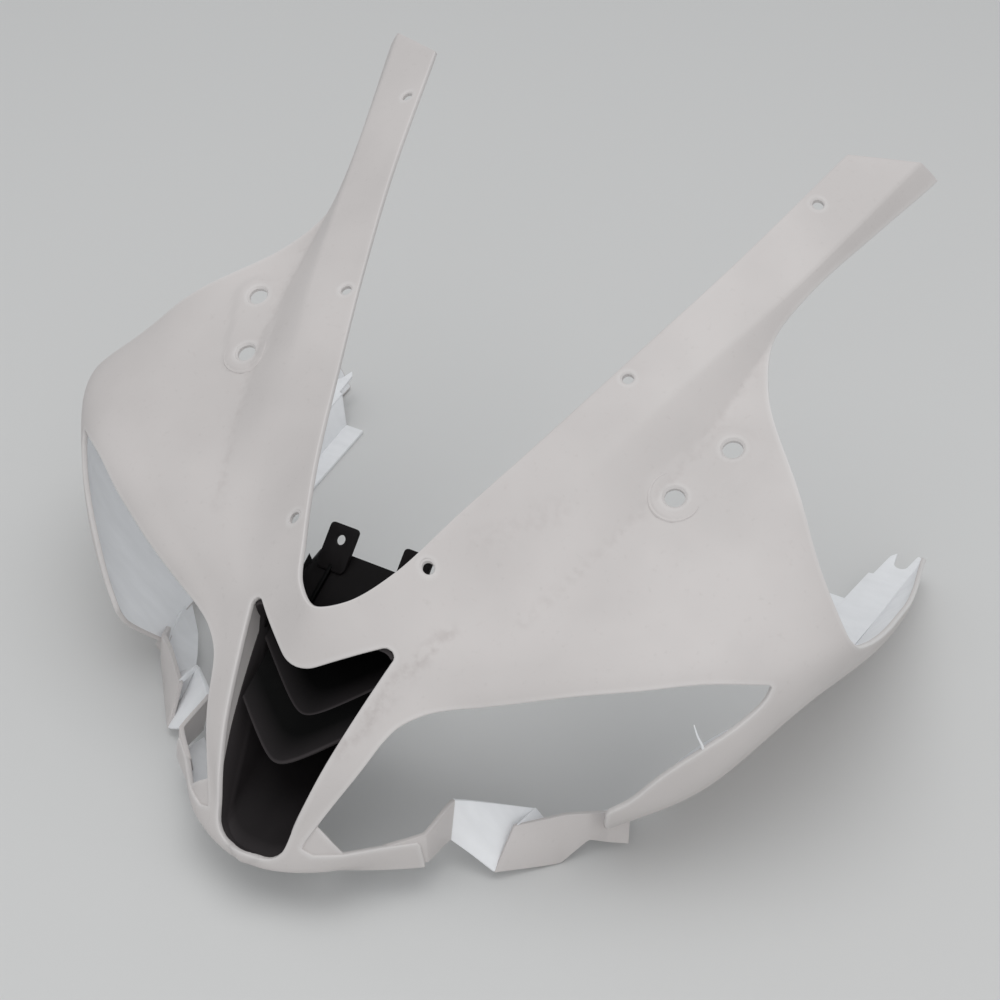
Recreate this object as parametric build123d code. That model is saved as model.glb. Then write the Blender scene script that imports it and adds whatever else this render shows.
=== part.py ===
from build123d import *
import math
import os

os.makedirs("parts", exist_ok=True)

# Upper front fairing of a sports motorcycle: one moulded shell, one intake duct, two duct screws.
# Millimetres. X across, Y back from the nose, Z up from the floor it stands on.

# wall sizes
SKIN_WALL = 3.0
RIM_WALL = 2.6
TAIL_WALL = 2.6
RETURN_WALL = 2.5
DUCT_WALL = 2.4
VANE_WALL = 2.2

# middle of the length, the shared origin
MID_Y = 222.6

# holes
SCREEN_HOLE_D = 6.0
MIRROR_HOLE_D = 10.5
MIRROR_SPACING = 40.0
PAD_RAISE = 0.8
PAD_RADIUS = 13.0

# intake opening, in the plane of the intake mouth
INTAKE_PITCH = 45.0
INTAKE_LOW = 28.0
INTAKE_LOW_HALF = 18.5
INTAKE_TIP = 152.0
INTAKE_TIP_HALF = 44.4
TONGUE_POINT = 120.5
RETURN_FLOOR = 10.0
RETURN_START = 46.0

# duct fit
MOUTH_GAP = 0.6
MOUTH_RECESS = 0.4
DUCT_SEAT = 6.0
LUG_WALL = 3.0
LUG_RADIUS = 5.5
BOSS_RADIUS = 4.0
LUG_SPOT = (53.0, 140.0)
DUCT_END_Y = 138.0
DUCT_END_WIDTH = 84.0
DUCT_END_LOW = 62.0
DUCT_END_TOP = 124.0
VANE_RUN = 52.0
TAB_SPACING = 45.0
TAB_WIDTH = 17.0
TAB_WALL = 3.0
TAB_HOLE_D = 5.5
TAB_HOLE_UP = 191.0
RIB_WALL = 2.4

# duct screws
SCREW_D = 4.0
SCREW_LENGTH = 10.0
SCREW_HEAD_D = 7.5
SCREW_HEAD_H = 2.4
SCREW_GAP = 0.1
LUG_HOLE_D = SCREW_D + 0.5
BOSS_HOLE_D = SCREW_D + 2 * SCREW_GAP

# feature lines of the skin, from the middle of the nose to the rear end, right half
SCREEN_EDGE = [(0, 80, 139), (15, 90, 141), (28, 113, 148), (44, 149, 167),
               (65, 206, 190), (83, 256, 210), (106, 324, 235), (132, 417, 267)]
RIDGE = [(0, 62, 113), (24, 75, 120), (46, 91, 122), (73, 136, 142),
         (96, 208, 186), (111, 249, 203), (138, 331, 227), (168, 433, 264)]
STEP_FOOT = [(0, 5, 35), (29, 39, 79), (54, 87, 115), (93, 127, 134),
             (118, 190, 161), (131, 238, 180), (143, 328, 216), (178, 440, 251)]
PANEL = [(0, 4, 30), (35, 38, 74), (63, 84, 108), (115, 116, 128),
         (165, 160, 141), (192, 211, 162), (203, 272, 183), (214, 430, 190)]
SHOULDER = [(0, 5, 27), (40, 37, 68), (72, 80, 100), (131, 106, 119),
            (205, 154, 122), (237.5, 199, 125), (236.5, 294, 74), (214.5, 411, 19)]
SIDE = [(0, 7, 25), (37, 17.4, 28.5), (76, 54, 36), (152, 100, 54),
        (191, 136, 60), (212, 196, 71), (217, 291, 42), (211, 411, 10)]
BOTTOM = [(0, 10, 22), (34, 23, 22.5), (78, 53, 20), (136, 105, 6),
          (156, 140, 4), (170, 205, 2), (196.5, 300, 2), (206, 411, 1)]
LINES = [SCREEN_EDGE, RIDGE, STEP_FOOT, PANEL, SHOULDER, SIDE, BOTTOM]
ALONG = 2
ACROSS = 3
CREASE = 0.8
CREASE_FROM = 2.0
CREASE_FULL = 4.0

# headlight opening, right side: upper edge from the nose back, then lower edge forward
LAMP_UPPER = [(31, 18, 45), (40.5, 37.4, 67.7), (50.7, 61.8, 86.7), (72, 81, 100.4), (103, 92, 111.4),
              (131.4, 105.8, 119.2), (158, 123.4, 121.4), (184, 141.8, 123.1), (212.8, 159, 121.5)]
LAMP_LOWER = [(211, 158, 114), (207.6, 154.6, 108), (201, 143.6, 100), (190, 132.2, 90), (174.5, 119.1, 75),
              (162.9, 108.7, 60), (153, 104, 52)]
LAMP_DEEP = (-8.0, 150.0)
WEB_EDGE = [(21, 18, 34), (31, 22, 58), (48.5, 30, 32), (40, 30, 22)]
WEB_RECESS = 1.2
WEB_WALL = 1.5
LAMP_SILL = [(152, 106, 40), (154, 116, 20), (156, 124, -6), (84, 58, -6), (77, 54.5, 36), (46, 28, 36),
             (34.8, 18, 38.2), (28.6, 18, 40)]

# rear edge of the arm and side panel, from the arm tip to the corner above the tail
REAR_EDGE = [(190, 490, 268), (177, 443, 251), (160, 395, 235), (145, 345, 221), (139.5, 310, 208),
             (146.7, 286.6, 195), (160, 267, 188), (188.5, 236.8, 173), (215.7, 211, 156.6),
             (230, 200.5, 143), (239.4, 196.4, 132), (244, 194.4, 124)]
CORNER_RADIUS = 8.0
LIP_START = (196.0, 126.5)
LIP_END = (411.0, 19.0)

# folded wall below the headlight, top and bottom of each fold
FOLD_TOP = [(73, 51.5, 34), (77, 84, 40), (108, 113, 23)]
FOLD_FOOT = [(75, 50.5, 21), (79, 76, 19), (104, 78, 6)]
SILL_TOP = [(106, 95, 26), (127, 113, 29), (137, 120, 29), (147, 125, 34), (161, 123, 38)]
SILL_FOOT = [(104, 78, 6), (128, 105, 0.4), (138, 117, 12), (147, 122, 9), (153, 126, 10)]
POCKET_TOP = [(107, 95, 26), (108, 113, 23)]
POCKET_FOOT = [(118, 107, 16), (118, 112, 15)]

# tail: flat shelf inside the lip with a forked end, inner wall down to the floor flange
SHELF_UP = 19.0
SHELF_OUTER = [(203, 296), (209, 352), (211.3, 381)]
SHELF_INNER = [(181, 296), (186.2, 352), (190, 381)]
WALL_FOOT = [(172.5, 290), (178.5, 345), (181.5, 372)]
FLANGE_EDGE = [(167.2, 372), (159.7, 290)]
FORK_TIPS = [(191.5, 381.5), (194.6, 402), (198.6, 405.5), (209.8, 410), (213, 408.5)]
FORK_SPOT = (203.3, 397.7)
FORK_WIDTH = 8.4
FORK_FLARE = 0.16
TIP_RADIUS = 1.2


def smooth(points, steps, crisp=None):
    """Points along a soft curve through the given points, bent at each one by its share in crisp."""
    at = [0.0]
    for a, b in zip(points, points[1:]):
        at.append(at[-1] + math.dist(a, b) ** 0.5)
    last = len(points) - 1
    runs = []
    for i in range(last):
        runs.append([(q - p) / (at[i + 1] - at[i]) for p, q in zip(points[i], points[i + 1])])
    arriving = []
    leaving = []
    for i in range(last + 1):
        before = runs[max(i - 1, 0)]
        after = runs[min(i, last - 1)]
        share = 0.5
        if 0 < i < last:
            share = (at[i + 1] - at[i]) / (at[i + 1] - at[i - 1])
        bend = crisp[i] if crisp else 0.0
        even = [share * p + (1 - share) * q for p, q in zip(before, after)]
        arriving.append([m + (p - m) * bend for m, p in zip(even, before)])
        leaving.append([m + (q - m) * bend for m, q in zip(even, after)])
    out = []
    for i in range(last):
        gap = at[i + 1] - at[i]
        for k in range(steps):
            u = k / steps
            w0 = 2 * u**3 - 3 * u**2 + 1
            w1 = (u**3 - 2 * u**2 + u) * gap
            w2 = 3 * u**2 - 2 * u**3
            w3 = (u**3 - u**2) * gap
            out.append([w0 * p + w1 * m + w2 * q + w3 * n
                        for p, m, q, n in zip(points[i], leaving[i], points[i + 1], arriving[i + 1])])
    out.append(list(points[-1]))
    return out


def both_sides(line):
    return [(-x, y, z) for x, y, z in reversed(line[1:])] + list(line)


def skin_grid():
    """Rows of points across the skin; the ridge and the step foot grow crisp towards the arms."""
    along = [smooth(both_sides(line), ALONG) for line in LINES]
    rows = []
    for i, row in enumerate(zip(*along)):
        station = abs(i / ALONG - len(SCREEN_EDGE) + 1)
        bend = CREASE * min(max((station - CREASE_FROM) / (CREASE_FULL - CREASE_FROM), 0), 1)
        crisp = [bend if line in (RIDGE, STEP_FOOT) else 0.0 for line in LINES]
        rows.append([Vector(*p) for p in smooth(list(row), ACROSS, crisp)])
    return rows


def inward(grid, depth):
    """The grid moved square to the skin, to the inside when depth is positive."""
    rows = len(grid) - 1
    cols = len(grid[0]) - 1
    moved = []
    for i, row in enumerate(grid):
        line = []
        for j, point in enumerate(row):
            a = grid[min(i + 1, rows)][j] - grid[max(i - 1, 0)][j]
            b = row[min(j + 1, cols)] - row[max(j - 1, 0)]
            line.append(point + a.cross(b).normalized() * depth)
        moved.append(line)
    return moved


def slab(outer, inner):
    """Closed solid between two grids of points."""
    count = len(outer)
    knots = [i / (count - 1) for i in range(count)]
    sheets = []
    for grid in (outer, inner):
        columns = [list(column) for column in zip(*grid)]
        sheets.append([Edge.make_spline(column, parameters=knots) for column in columns])
    faces = []
    for sheet in sheets:
        faces += [Face.make_surface_from_curves(a, b) for a, b in zip(sheet, sheet[1:])]
    faces.append(Face.make_surface_from_curves(sheets[0][0], sheets[1][0]))
    faces.append(Face.make_surface_from_curves(sheets[0][-1], sheets[1][-1]))
    for row_out, row_in in ((outer[0], inner[0]), (outer[-1], inner[-1])):
        for j in range(len(row_out) - 1):
            a = Edge.make_line(row_out[j], row_out[j + 1])
            b = Edge.make_line(row_in[j], row_in[j + 1])
            faces.append(Face.make_surface_from_curves(a, b))
    return Solid(Shell(faces))


def folded(top, foot, wall):
    """Folded wall of even thickness between a top line and a foot line."""
    tops = [Vector(*p) for p in top]
    feet = [Vector(*p) for p in foot]
    normals = []
    for i in range(len(tops) - 1):
        run = (tops[i + 1] + feet[i + 1]) - (tops[i] + feet[i])
        rise = (tops[i] - feet[i]) + (tops[i + 1] - feet[i + 1])
        normals.append(run.cross(rise).normalized())
    sections = []
    for i in range(len(tops)):
        n = normals[min(i, len(normals) - 1)]
        if 0 < i < len(normals):
            m = (normals[i - 1] + normals[i]).normalized()
            n = m * (1 / max(m.dot(n), 0.5))
        n = n * (wall / 2)
        sections.append(Wire.make_polygon([tops[i] + n, feet[i] + n, feet[i] - n, tops[i] - n]))
    return Solid.make_loft(sections, ruled=True)


def flat(plane, points):
    """Points of space seen square to a plane."""
    local = [plane.to_local_coords(Vector(*p)) for p in points]
    return [(p.X, p.Y) for p in local]


def pair(shape):
    return shape + mirror(shape, about=Plane.YZ)


pitch = math.radians(INTAKE_PITCH)
MOUTH = Plane(origin=(0, 0, 0), x_dir=(1, 0, 0), z_dir=(0, -math.sin(pitch), math.cos(pitch)))


def mouth_box(low, high):
    return MOUTH * Pos(0, 0, (low + high) / 2) * Box(400, 800, high - low)


def mouth_outline(inset):
    """Intake opening: rounded foot, two spread sides, V edge of the tongue."""
    corners = [(-INTAKE_LOW_HALF, INTAKE_LOW), (INTAKE_LOW_HALF, INTAKE_LOW), (INTAKE_TIP_HALF, INTAKE_TIP),
               (0, TONGUE_POINT), (-INTAKE_TIP_HALF, INTAKE_TIP)]
    shape = Polygon(*corners, align=None)
    feet = [v for v in shape.vertices() if v.Y < INTAKE_LOW + 1]
    shape = fillet(feet, 13)
    tips = [v for v in shape.vertices() if v.Y > INTAKE_TIP - 1]
    shape = fillet(tips, 4)
    shape = fillet([v for v in shape.vertices() if abs(v.X) < 0.1], 13)
    if inset:
        shape = offset(shape, inset)
    return shape


def duct_mouth(inset):
    """Mouth of the duct: the intake opening with a straight upper edge."""
    low = INTAKE_LOW + inset
    high = INTAKE_TIP - 5 - inset
    lean = (INTAKE_TIP_HALF - INTAKE_LOW_HALF) / (INTAKE_TIP - INTAKE_LOW)
    low_half = INTAKE_LOW_HALF - inset
    high_half = INTAKE_LOW_HALF + lean * (INTAKE_TIP - 5 - INTAKE_LOW) - inset
    shape = Polygon((-low_half, low), (low_half, low), (high_half, high), (-high_half, high), align=None)
    shape = fillet([v for v in shape.vertices() if v.Y < low + 1], 12.5 - inset)
    return fillet([v for v in shape.vertices() if v.Y > high - 1], 6 - inset)


def duct_end(inset):
    height = DUCT_END_TOP - DUCT_END_LOW
    shape = RectangleRounded(DUCT_END_WIDTH - 2 * inset, height - 2 * inset, 10 - inset)
    plane = Plane(origin=(0, DUCT_END_Y, DUCT_END_LOW + height / 2), x_dir=(1, 0, 0), z_dir=(0, -1, 0))
    return plane * shape


# skin
grid = skin_grid()
skin = slab(grid, inward(grid, SKIN_WALL))
middle = len(grid) // 2
nose = grid[middle - 3 * ALONG:middle + 3 * ALONG + 1]
into = MOUTH.z_dir * -48
half_deep = inward(nose, SKIN_WALL / 2)
core = slab(half_deep, [[p + into for p in row] for row in half_deep])

# openings in the skin
intake_cut = MOUTH * Pos(0, 0, 4) * extrude(mouth_outline(0), 60)
LAMP = Plane(origin=(0, 0, 0), x_dir=(0.785, 0.62, 0), z_dir=(0.508, -0.643, 0.574))
upper = flat(LAMP, LAMP_UPPER)
lower = flat(LAMP, LAMP_LOWER)
sill = flat(LAMP, LAMP_SILL)
lamp_edge = Spline(upper) + Line(upper[-1], lower[0]) + Spline(lower)
lamp_edge = lamp_edge + Polyline(lower[-1], *sill, upper[0])
lamp_middle = LAMP * Pos(0, 0, sum(LAMP_DEEP) / 2)
lamp_half = (LAMP_DEEP[1] - LAMP_DEEP[0]) / 2
lamp_cut = lamp_middle * extrude(make_face(lamp_edge), lamp_half, both=True)
REAR = Plane(origin=(0, 0, 0), x_dir=(0.79, 0, -0.45), z_dir=(0.45, -0.42, 0.79))
rear = flat(REAR, REAR_EDGE)
far = flat(REAR, [(330, 190, 118), (330, 520, 118)])
rear_edge = Spline(rear) + Polyline(rear[-1], *far, rear[0])
rear_cut = REAR * extrude(make_face(rear_edge), 300, both=True)
lip_run = Vector(0, LIP_END[0] - LIP_START[0], LIP_END[1] - LIP_START[1]).normalized()
LIP = Plane(origin=(0, *LIP_START), x_dir=(1, 0, 0), z_dir=Vector(1, 0, 0).cross(lip_run))
rear_cut = rear_cut & (LIP * Pos(0, 0, 250) * Box(1000, 1000, 500))
on_lip = [e for e in rear_cut.edges() if abs(LIP.to_local_coords(e.center()).Z) < 0.01]
corner = ShapeList(on_lip).sort_by_distance(Vector(*REAR_EDGE[-1]))[0]
rear_cut = fillet(corner, CORNER_RADIUS)
skin = skin - intake_cut - pair(lamp_cut) - pair(rear_cut)

# returns round the intake and bosses for the duct
ring = extrude(mouth_outline(RETURN_WALL), 60) - extrude(mouth_outline(0), 60)
ring = ring - extrude(Polygon((-43, 165), (-39, 147), (0, 116), (39, 147), (43, 165), align=None), 60)
ring = ring - Pos(0, RETURN_START - 50, 30) * Box(200, 100, 80)
ring = (MOUTH * ring) & mouth_box(RETURN_FLOOR, 80)
boss = MOUTH * Pos(*LUG_SPOT, DUCT_SEAT) * extrude(Circle(BOSS_RADIUS), 40)
ring = (ring + pair(boss)) & core
thread = extrude(Circle(BOSS_HOLE_D / 2), SCREW_LENGTH - LUG_WALL + 1)
thread = MOUTH * Pos(*LUG_SPOT, DUCT_SEAT) * thread
ring = ring - pair(thread)

# web across the front corner of the headlight opening
web = slab(inward(nose, WEB_RECESS), inward(nose, WEB_RECESS + WEB_WALL))
web_edge = Polygon(*flat(LAMP, WEB_EDGE), align=None)
web = web & (lamp_middle * extrude(web_edge, lamp_half, both=True))

# wall under the headlight, tail shelf, inner wall, flange
rim = folded(FOLD_TOP, FOLD_FOOT, RIM_WALL) + folded(SILL_TOP, SILL_FOOT, RIM_WALL)
rim = rim + folded(POCKET_TOP, POCKET_FOOT, RIM_WALL)
inner_edge = [(x - TAIL_WALL / 2, y) for x, y in SHELF_INNER]
shelf = Polygon(*inner_edge, *FORK_TIPS, *reversed(SHELF_OUTER), align=None)
shelf = fillet([v for v in shelf.vertices() if v.Y > FORK_SPOT[1]], TIP_RADIUS)
half = FORK_WIDTH / 2
spread = half + 20 * FORK_FLARE
fork = Circle(half) + Polygon((-half, 0), (half, 0), (spread, 20), (-spread, 20), align=None)
shelf = shelf - Pos(*FORK_SPOT) * fork
tail = Pos(0, 0, SHELF_UP - TAIL_WALL / 2) * extrude(shelf, TAIL_WALL)
wall_top = [(x, y, SHELF_UP) for x, y in SHELF_INNER]
wall_foot = [(x, y, TAIL_WALL / 2) for x, y in WALL_FOOT]
tail = tail + folded(wall_top, wall_foot, TAIL_WALL)
flange = [(x + TAIL_WALL / 2, y) for x, y in WALL_FOOT] + FLANGE_EDGE
tail = tail + extrude(Polygon(*flange, align=None), TAIL_WALL)

# raised pads and holes
mirror_axis = Vector(0.124, -0.36, 0.925)
mirror_run = Vector(14.9, 35.3, 11.6)
PAD = Plane(origin=(139.5, 229.7, 175.8), x_dir=mirror_run, z_dir=mirror_axis)
wing = grid[middle + 3 * ALONG:middle + 6 * ALONG + 1]
wing = [row[ACROSS:3 * ACROSS + 3] for row in wing]
cover = slab(inward(wing, -PAD_RAISE), inward(wing, SKIN_WALL / 2))
pad = cover & (PAD * Pos(0, 0, -25) * extrude(SlotCenterToCenter(MIRROR_SPACING, 2 * PAD_RADIUS), 50))
SCREEN_HOLES = [(40.1, 123.2, 151.9), (86.3, 246.5, 206.9), (129.9, 382.5, 253.4)]
SCREEN_TILT = 21.0
holes = [Pos(*spot) * Rot(SCREEN_TILT, 0, 0) * Cylinder(SCREEN_HOLE_D / 2, 30) for spot in SCREEN_HOLES]
for side in (-1, 1):
    holes.append(PAD * Pos(side * MIRROR_SPACING / 2, 0, 0) * Cylinder(MIRROR_HOLE_D / 2, 40))
holes += [mirror(hole, about=Plane.YZ) for hole in holes]

added = [ring, web, rim, tail, pad]
added += [mirror(piece, about=Plane.YZ) for piece in (web, rim, tail, pad)]
shell = (skin + added) - holes

# duct: mouth collar, tapering tube, two V vanes, lugs, rear tabs
collar = extrude(duct_mouth(MOUTH_GAP), 60) - extrude(duct_mouth(MOUTH_GAP + DUCT_WALL), 60)
solid_mouth = extrude(duct_mouth(MOUTH_GAP), 60)
under_skin = Pos(*(MOUTH.z_dir * -MOUTH_RECESS)) * core
MOUTH_CUT = Plane(origin=(0, 26, 67), x_dir=(1, 0, 0), z_dir=(0, -0.49, 0.872))
below_cut = MOUTH_CUT * Pos(0, 0, -150) * Box(400, 600, 300)
collar = ((MOUTH * Pos(0, 0, DUCT_SEAT - LUG_WALL) * collar) & under_skin) & below_cut
front_out = MOUTH * Pos(0, 0, DUCT_SEAT - LUG_WALL) * duct_mouth(MOUTH_GAP)
front_in = MOUTH * Pos(0, 0, DUCT_SEAT - LUG_WALL) * duct_mouth(MOUTH_GAP + DUCT_WALL)
tube_out = loft([front_out.face(), duct_end(0).face()])
tube_in = loft([front_in.face(), duct_end(DUCT_WALL).face()])
inside = tube_out + (((MOUTH * Pos(0, 0, DUCT_SEAT - LUG_WALL) * solid_mouth) & under_skin) & below_cut)
duct = collar + (tube_out - tube_in)
for point, lip in ((100.5, 12.0), (74.5, 19.0)):
    vane = Polygon((-48, point + 35), (0, point), (48, point + 35), (48, point + 35 + VANE_WALL),
                   (0, point + VANE_WALL), (-48, point + 35 + VANE_WALL), align=None)
    vane = fillet([v for v in vane.vertices() if abs(v.X) < 0.1], 10)
    vane = extrude(MOUTH * Pos(0, 0, lip) * vane, VANE_RUN, dir=(0, 0.92, 0.39))
    duct = duct + (vane & inside)
lug_root = LUG_SPOT[0] - 12.8
lug = Pos(*LUG_SPOT) * Circle(LUG_RADIUS)
neck = Rectangle(LUG_SPOT[0] - lug_root, 2 * LUG_RADIUS)
lug = lug + Pos((LUG_SPOT[0] + lug_root) / 2, LUG_SPOT[1]) * neck
lug = lug - Pos(*LUG_SPOT) * Circle(LUG_HOLE_D / 2)
duct = duct + pair(MOUTH * Pos(0, 0, DUCT_SEAT - LUG_WALL) * extrude(lug, LUG_WALL))
tab = Pos(TAB_SPACING / 2, (174 + 199) / 2, 0) * Rectangle(TAB_WIDTH, 25)
tab = tab - Pos(TAB_SPACING / 2, TAB_HOLE_UP, 0) * Circle(TAB_HOLE_D / 2)
duct = duct + pair(MOUTH * Pos(0, 0, -7.5) * extrude(tab, TAB_WALL))
rib = Plane.YZ * Polygon((104, 106.5), (128, 118.5), (129, 122.5), (106, 111.5), align=None)
rib = Pos(TAB_SPACING / 2, 0, 0) * extrude(rib, RIB_WALL / 2, both=True)
duct = duct + pair(rib)

# screws
head = Cylinder(SCREW_HEAD_D / 2, SCREW_HEAD_H, align=(Align.CENTER, Align.CENTER, Align.MAX))
screw = head + Cylinder(SCREW_D / 2, SCREW_LENGTH, align=(Align.CENTER, Align.CENTER, Align.MIN))
screw = MOUTH * Pos(*LUG_SPOT, DUCT_SEAT - LUG_WALL) * screw
screws = [screw, mirror(screw, about=Plane.YZ)]

origin = Pos(0, -MID_Y, 0)
export_step(origin * shell, "parts/fairing_shell.step")
export_step(origin * duct, "parts/intake_duct.step")
export_step(Compound(children=[origin * s for s in screws]), "parts/duct_screws.step")
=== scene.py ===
"""Upper front fairing of a sports motorcycle, primed for paint, with its black intake duct."""

import math

import bmesh
import bpy
import numpy as np
from mathutils import Matrix, Vector


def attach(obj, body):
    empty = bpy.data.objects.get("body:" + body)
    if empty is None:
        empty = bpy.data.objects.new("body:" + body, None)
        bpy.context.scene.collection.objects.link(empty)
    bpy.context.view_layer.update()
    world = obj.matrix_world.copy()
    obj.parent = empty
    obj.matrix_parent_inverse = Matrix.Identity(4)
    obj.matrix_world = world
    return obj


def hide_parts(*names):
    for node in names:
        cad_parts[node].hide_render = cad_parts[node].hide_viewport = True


bl_info = {
    "name": "Primed fairing",
    "version": (1, 0, 0),
    "blender": (4, 5, 0),
    "location": "View3D > Sidebar > Fairing",
    "description": "Builds a primed motorcycle fairing with its intake duct",
    "category": "Add Mesh",
}

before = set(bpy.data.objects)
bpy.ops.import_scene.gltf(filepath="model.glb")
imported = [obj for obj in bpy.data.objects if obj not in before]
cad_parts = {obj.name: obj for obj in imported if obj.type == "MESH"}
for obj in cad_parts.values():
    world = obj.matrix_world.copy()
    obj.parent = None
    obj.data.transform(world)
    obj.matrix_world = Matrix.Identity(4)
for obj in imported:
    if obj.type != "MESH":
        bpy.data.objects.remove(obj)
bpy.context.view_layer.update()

# The lines below are in millimetres, back from the nose and up from the floor.
MM = 0.001
MID_Y = 222.6

SCREEN_EDGE = [(0, 80, 139), (15, 90, 141), (28, 113, 148), (44, 149, 167),
               (65, 206, 190), (83, 256, 210), (106, 324, 235), (132, 417, 267)]
RIDGE = [(0, 62, 113), (24, 75, 120), (46, 91, 122), (73, 136, 142),
         (96, 208, 186), (111, 249, 203), (138, 331, 227), (168, 433, 264)]
STEP_FOOT = [(0, 5, 35), (29, 39, 79), (54, 87, 115), (93, 127, 134),
             (118, 190, 161), (131, 238, 180), (143, 328, 216), (178, 440, 251)]
PANEL = [(0, 4, 30), (35, 38, 74), (63, 84, 108), (115, 116, 128),
         (165, 160, 141), (192, 211, 162), (203, 272, 183), (214, 430, 190)]
SHOULDER = [(0, 5, 27), (40, 37, 68), (72, 80, 100), (131, 106, 119),
            (205, 154, 122), (237.5, 199, 125), (236.5, 294, 74), (214.5, 411, 19)]
SIDE = [(0, 7, 25), (37, 17.4, 28.5), (76, 54, 36), (152, 100, 54),
        (191, 136, 60), (212, 196, 71), (217, 291, 42), (211, 411, 10)]
BOTTOM = [(0, 10, 22), (34, 23, 22.5), (78, 53, 20), (136, 112, 13),
          (150, 148, 14), (160, 206, 8), (196.5, 300, 2), (206, 411, 1)]
LINES = [SCREEN_EDGE, RIDGE, STEP_FOOT, PANEL, SHOULDER, SIDE, BOTTOM]
STEPS_ALONG = [18, 24, 34, 30, 36, 36, 40]
STEPS_ACROSS = [14, 11, 28, 26, 16, 16]
CREASE = 0.85
CREASES = {1: (2.5, 6.0), 2: (1.5, 4.0)}

LAMP_UPPER = [(31, 18, 45), (37.9, 31.7, 60.2), (46.8, 47, 77.5), (52.5, 61, 89.8), (56.8, 68.2, 95),
              (66.3, 77.5, 99.8), (76.9, 83.5, 102.9), (89.9, 88.7, 106.4), (103, 92, 111.4),
              (131.4, 105.8, 119.2), (158, 123.4, 121.4), (184, 141.8, 123.1), (212.8, 159, 121.5)]
LAMP_LOWER = [(211, 158, 114), (207.6, 154.6, 108), (201, 143.6, 100), (190, 132.2, 90), (174.5, 119.1, 75),
              (162.9, 108.7, 60), (153, 104, 52)]
LAMP_DEEP = (-8.0, 150.0)
LAMP_SILL = [(152, 106, 40), (154, 116, 20), (156, 124, -6), (80, 57, -6), (75.5, 53.5, 36), (46, 28, 36),
             (34.8, 18, 38.2), (28.6, 18, 40)]
WEB_EDGE = [(21, 18, 34), (31, 22, 58), (48.5, 30, 32), (40, 30, 22)]
WEB_DEEP = (6.0, 150.0)
WEB_RECESS = 1.2
WEB_WALL = 1.5
WEB_ROUND = 0.3
REAR_EDGE = [(190, 490, 268), (177, 443, 251), (160, 395, 235), (145, 345, 221), (139.5, 310, 208),
             (146.7, 286.6, 195), (160, 267, 188), (188.5, 236.8, 173), (215.7, 211, 156.6),
             (230, 200.5, 143), (239.4, 196.4, 132), (244, 194.4, 124)]
LIP_START = (196.0, 126.5)
LIP_END = (411.0, 19.0)
CORNER_RADIUS = 8.0
RIM_MARK = 0.2
WORN_EDGE = -3.6
WORN_REACH = 2.5

INTAKE = [(-18.5, 28), (18.5, 28), (45.0, 155), (0, 120), (-45.0, 155)]
INTAKE_ROUND = [13, 13, 4, 17, 4]
INTAKE_FLOOR = 4.0
RETURN_FROM = 48.0
RETURN_WALL = 2.5
RETURN_DEEP = (1.8, 15.0, 92.0)

NOSE_HALF = 80.0
NOSE_BACK = 140.0

DUCT_WALL = 2.4
COLLAR_GAP = 0.4
COLLAR_ROUND = 13.0
COLLAR_TOP_ROUND = 6
HEEL_GAP = 0.6
HEEL_ROUND = 17.0
DUCT_MOUTH = [(-18.5, 28), (18.5, 28), (43.4, 147), (-43.4, 147)]
DUCT_HEEL = (9.0, 3.0)
DUCT_HEEL_RUN = (28.0, 80.0)
DUCT_END_Y = 138.0
DUCT_END = [(-27, 62), (27, 62), (40, 124), (-40, 124)]
DUCT_END_ROUND = (22, 10)
SIDE_FILL = 12
VANES = [(101.2, 9.0, 36.0), (75.2, 19.0, 30.5)]
VANE_ROUND = 8.0
VANE_RUN = 52.0
VANE_BEAD = 1.3
LUG_RADIUS = 5.5
LUG_WALL = 3.0
LUG_LENGTH = 12.8
LUG_HOLE = 4.5
LUG_ROUND = [0.5, 5.4, 5.4, 0.5]
TAB_SPOT = (22.5, 191.0)
TAB = [(14, 174), (31, 174), (31, 199), (14, 199)]
TAB_LEVEL = (-7.5, -4.5)
TAB_HOLE = 5.5
TAB_ROUND = 2.0
RIB = [(104, 106.5), (128, 118.5), (129, 122.5), (106, 111.5)]
RIB_WALL = 2.4

FOLD_TOP = [(60, 43, 35), (75.8, 57.7, 39), (77, 84, 40), (108, 113, 23)]
FOLD_FOOT = [(61, 44.5, 25), (77.5, 56, 21), (79, 76, 19), (104, 78, 6)]
SILL_TOP = [(106, 95, 26), (127, 113, 29), (137, 120, 29), (143.7, 131.9, 22), (150.9, 138.4, 15)]
SILL_FOOT = [(104, 78, 6), (128, 105, 0.4), (138, 117, 12), (143.9, 124.9, 6), (154.2, 131.2, 4)]
POCKET_TOP = [(107, 95, 26), (108, 113, 23)]
POCKET_FOOT = [(118, 107, 16), (118, 112, 15)]

LEDGE_INNER = [(116.6, 118, 6), (126.7, 134.4, 7), (139, 150, 4), (156, 166, 15)]
LEDGE_OUTER = [(113, 99, 6), (129, 112, 8), (143, 128, 14), (148, 146, 18)]
BAR_INNER = [(36, 42, 17), (55, 58, 17), (76, 74, 16)]
BAR_OUTER = [(46, 31.5, 23), (61.5, 42.6, 22.5), (76, 55, 21.5)]

SHELF_UP = 19.0
SHELF_OUTER = [(203, 296), (209, 352), (211.3, 381)]
SHELF_INNER = [(181, 296), (186.2, 352), (190, 381)]
WALL_FOOT = [(172.5, 290), (178.5, 345), (181.5, 372)]
FLANGE_EDGE = [(167.2, 372), (159.7, 290)]
FORK_TIPS = [(191.5, 381.5), (194.6, 402), (209.8, 410), (213, 408.5)]
FORK_SPOT = (203.3, 397.7)
FORK_WIDTH = 8.4
FORK_FLARE = 0.16

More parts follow.
